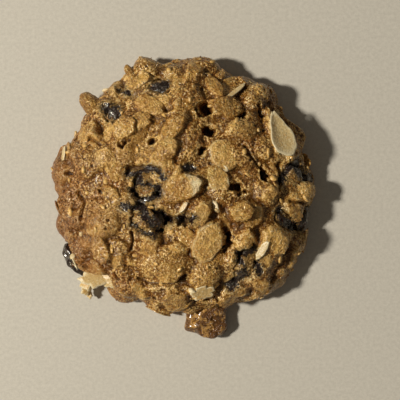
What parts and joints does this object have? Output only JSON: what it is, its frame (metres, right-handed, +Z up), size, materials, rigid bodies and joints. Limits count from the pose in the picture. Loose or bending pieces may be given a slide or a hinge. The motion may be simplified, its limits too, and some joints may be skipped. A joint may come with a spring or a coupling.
{
  "type": "oatmeal raisin cookie",
  "caption": "Round domed oatmeal cookie with a lumpy oat-flake crust, raisins set into it and a nut piece caught under its rim.",
  "frame": {"origin": "middle of the cookie's flat base, on the surface it lies on", "axes": "+Z up out of the base through the crown; the nut piece sticks out of the rim towards -Y; +X completes the right-handed frame"},
  "size_m": [0.0613, 0.0655, 0.015],
  "materials": {
    "dough": "baked golden-brown crumb with a faint buttery sheen",
    "oat_flake": "pale toasted oat, dull",
    "raisin": "near-black wrinkled skin, sticky sheen",
    "nut": "toasted brown nut with a paler broken edge"
  },
  "bodies": {
    "root": {"cookie_dough": "dough", "raisin_middle_upper": "raisin", "raisin_middle_lower": "raisin", "raisin_left": "raisin", "raisin_top": "raisin", "raisin_under_flake": "raisin", "raisin_right": "raisin", "raisin_right_lower": "raisin", "raisin_lower": "raisin", "raisin_left_rim": "raisin", "raisin_right_rim": "raisin", "nut_piece": "nut"}
  },
  "joints": []
}
